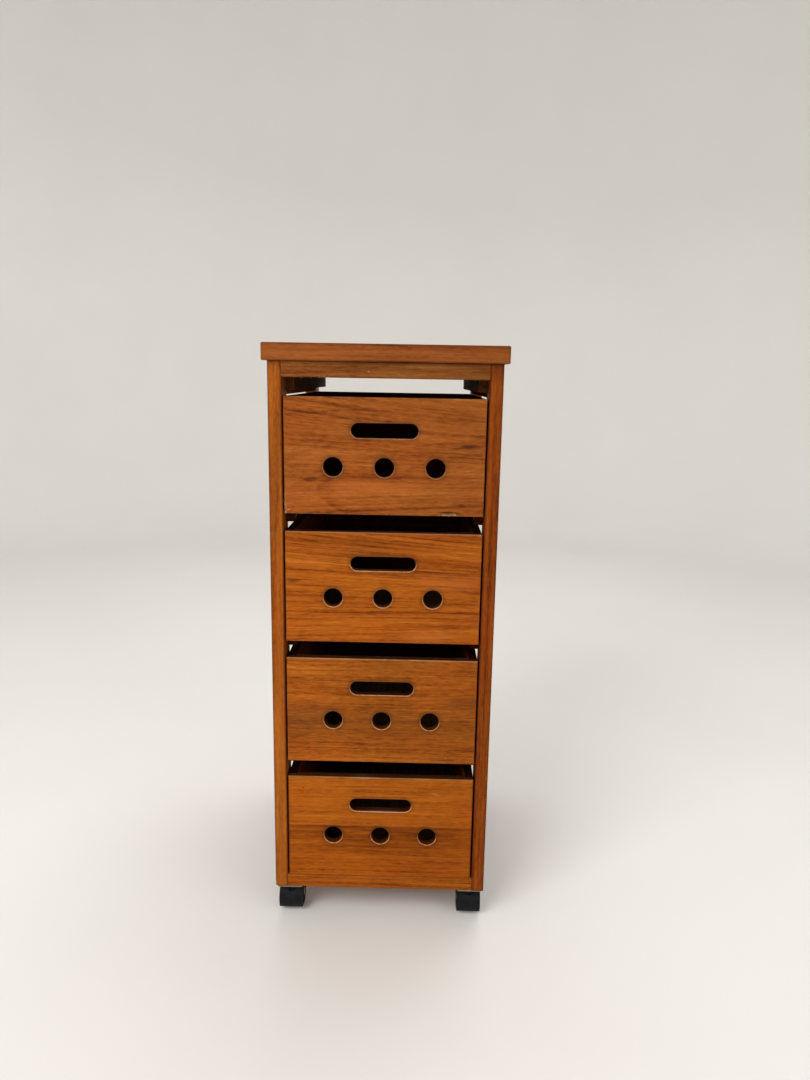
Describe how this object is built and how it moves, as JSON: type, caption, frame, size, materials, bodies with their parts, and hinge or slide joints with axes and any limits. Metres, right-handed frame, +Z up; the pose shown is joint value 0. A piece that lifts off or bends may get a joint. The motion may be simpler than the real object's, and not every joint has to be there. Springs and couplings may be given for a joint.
{
  "type": "slim drawer unit",
  "caption": "Tall narrow open-frame wooden unit on swivel castors, with crate drawers that each have a hand slot and round holes.",
  "frame": {"origin": "on the floor, under the middle of the top board", "axes": "+Z up, the drawers open towards -Y, +X to the right seen from the front"},
  "size_m": [0.314, 0.404, 0.8153],
  "materials": {
    "frame_wood": "oiled, satin",
    "front_wood": "oiled, satin",
    "drawer_wood": "oiled, dull",
    "inner_wood": "oiled, dull",
    "panel": "bare plywood",
    "castor_plastic": "moulded, fine grain",
    "castor_wheel": "worn nylon",
    "plate_steel": "zinc plated",
    "axle_steel": "bare steel",
    "screw_steel": "dull zinc plated"
  },
  "bodies": {
    "carcass": {"back_post_left": "frame_wood", "back_post_right": "frame_wood", "bottom_board": "frame_wood", "castor_plates": "plate_steel", "castor_screws": "screw_steel", "drawer_stop_blocks": "inner_wood", "front_post_left": "frame_wood", "front_post_right": "frame_wood", "kicker_left": "inner_wood", "kicker_right": "inner_wood", "runner_1_left": "inner_wood", "runner_1_right": "inner_wood", "runner_2_left": "inner_wood", "runner_2_right": "inner_wood", "runner_3_left": "inner_wood", "runner_3_right": "inner_wood", "side_rail_bottom_left": "frame_wood", "side_rail_bottom_right": "frame_wood", "side_rail_top_left": "frame_wood", "side_rail_top_right": "frame_wood", "top_board": "frame_wood", "top_rail_back": "frame_wood", "top_rail_front": "frame_wood", "wood_screws": "screw_steel"},
    "drawer_1": {"drawer_1_back": "drawer_wood", "drawer_1_bottom": "panel", "drawer_1_front": "front_wood", "drawer_1_side_left": "drawer_wood", "drawer_1_side_right": "drawer_wood"},
    "drawer_2": {"drawer_2_back": "drawer_wood", "drawer_2_bottom": "panel", "drawer_2_front": "front_wood", "drawer_2_side_left": "drawer_wood", "drawer_2_side_right": "drawer_wood"},
    "drawer_3": {"drawer_3_back": "drawer_wood", "drawer_3_bottom": "panel", "drawer_3_front": "front_wood", "drawer_3_side_left": "drawer_wood", "drawer_3_side_right": "drawer_wood"},
    "drawer_4": {"drawer_4_back": "drawer_wood", "drawer_4_bottom": "panel", "drawer_4_front": "front_wood", "drawer_4_side_left": "drawer_wood", "drawer_4_side_right": "drawer_wood"},
    "castor_front_left_swivel": {"castor_front_left_axle": "axle_steel", "castor_front_left_hood": "castor_plastic"},
    "castor_front_left_roll_left": {"castor_front_left_wheel_left": "castor_wheel"},
    "castor_front_left_roll_right": {"castor_front_left_wheel_right": "castor_wheel"},
    "castor_front_right_swivel": {"castor_front_right_axle": "axle_steel", "castor_front_right_hood": "castor_plastic"},
    "castor_front_right_roll_left": {"castor_front_right_wheel_left": "castor_wheel"},
    "castor_front_right_roll_right": {"castor_front_right_wheel_right": "castor_wheel"},
    "castor_back_left_swivel": {"castor_back_left_axle": "axle_steel", "castor_back_left_hood": "castor_plastic"},
    "castor_back_left_roll_left": {"castor_back_left_wheel_left": "castor_wheel"},
    "castor_back_left_roll_right": {"castor_back_left_wheel_right": "castor_wheel"},
    "castor_back_right_swivel": {"castor_back_right_axle": "axle_steel", "castor_back_right_hood": "castor_plastic"},
    "castor_back_right_roll_left": {"castor_back_right_wheel_left": "castor_wheel"},
    "castor_back_right_roll_right": {"castor_back_right_wheel_right": "castor_wheel"}
  },
  "joints": [
    {"name": "drawer_1_slide", "type": "slide", "parent": "carcass", "child": "drawer_1", "axis": [0, -1, 0], "range_m": [0, 0.3]},
    {"name": "drawer_2_slide", "type": "slide", "parent": "carcass", "child": "drawer_2", "axis": [0, -1, 0], "range_m": [0, 0.3]},
    {"name": "drawer_3_slide", "type": "slide", "parent": "carcass", "child": "drawer_3", "axis": [0, -1, 0], "range_m": [0, 0.3]},
    {"name": "drawer_4_slide", "type": "slide", "parent": "carcass", "child": "drawer_4", "axis": [0, -1, 0], "range_m": [0, 0.3]},
    {"name": "castor_front_left_swivel_turn", "type": "hinge", "parent": "carcass", "child": "castor_front_left_swivel", "pos_m": [-0.13, -0.1755, 0.0475], "axis": [0, 0, 1], "continuous": true},
    {"name": "castor_front_left_roll_left_spin", "type": "hinge", "parent": "castor_front_left_swivel", "child": "castor_front_left_roll_left", "pos_m": [-0.13, -0.1635, 0.02], "axis": [1, 0, 0], "continuous": true},
    {"name": "castor_front_left_roll_right_spin", "type": "hinge", "parent": "castor_front_left_swivel", "child": "castor_front_left_roll_right", "pos_m": [-0.13, -0.1635, 0.02], "axis": [1, 0, 0], "continuous": true},
    {"name": "castor_front_right_swivel_turn", "type": "hinge", "parent": "carcass", "child": "castor_front_right_swivel", "pos_m": [0.13, -0.1755, 0.0475], "axis": [0, 0, 1], "continuous": true},
    {"name": "castor_front_right_roll_left_spin", "type": "hinge", "parent": "castor_front_right_swivel", "child": "castor_front_right_roll_left", "pos_m": [0.13, -0.1635, 0.02], "axis": [1, 0, 0], "continuous": true},
    {"name": "castor_front_right_roll_right_spin", "type": "hinge", "parent": "castor_front_right_swivel", "child": "castor_front_right_roll_right", "pos_m": [0.13, -0.1635, 0.02], "axis": [1, 0, 0], "continuous": true},
    {"name": "castor_back_left_swivel_turn", "type": "hinge", "parent": "carcass", "child": "castor_back_left_swivel", "pos_m": [-0.13, 0.1755, 0.0475], "axis": [0, 0, 1], "continuous": true},
    {"name": "castor_back_left_roll_left_spin", "type": "hinge", "parent": "castor_back_left_swivel", "child": "castor_back_left_roll_left", "pos_m": [-0.13, 0.1635, 0.02], "axis": [1, 0, 0], "continuous": true},
    {"name": "castor_back_left_roll_right_spin", "type": "hinge", "parent": "castor_back_left_swivel", "child": "castor_back_left_roll_right", "pos_m": [-0.13, 0.1635, 0.02], "axis": [1, 0, 0], "continuous": true},
    {"name": "castor_back_right_swivel_turn", "type": "hinge", "parent": "carcass", "child": "castor_back_right_swivel", "pos_m": [0.13, 0.1755, 0.0475], "axis": [0, 0, 1], "continuous": true},
    {"name": "castor_back_right_roll_left_spin", "type": "hinge", "parent": "castor_back_right_swivel", "child": "castor_back_right_roll_left", "pos_m": [0.13, 0.1635, 0.02], "axis": [1, 0, 0], "continuous": true},
    {"name": "castor_back_right_roll_right_spin", "type": "hinge", "parent": "castor_back_right_swivel", "child": "castor_back_right_roll_right", "pos_m": [0.13, 0.1635, 0.02], "axis": [1, 0, 0], "continuous": true}
  ]
}
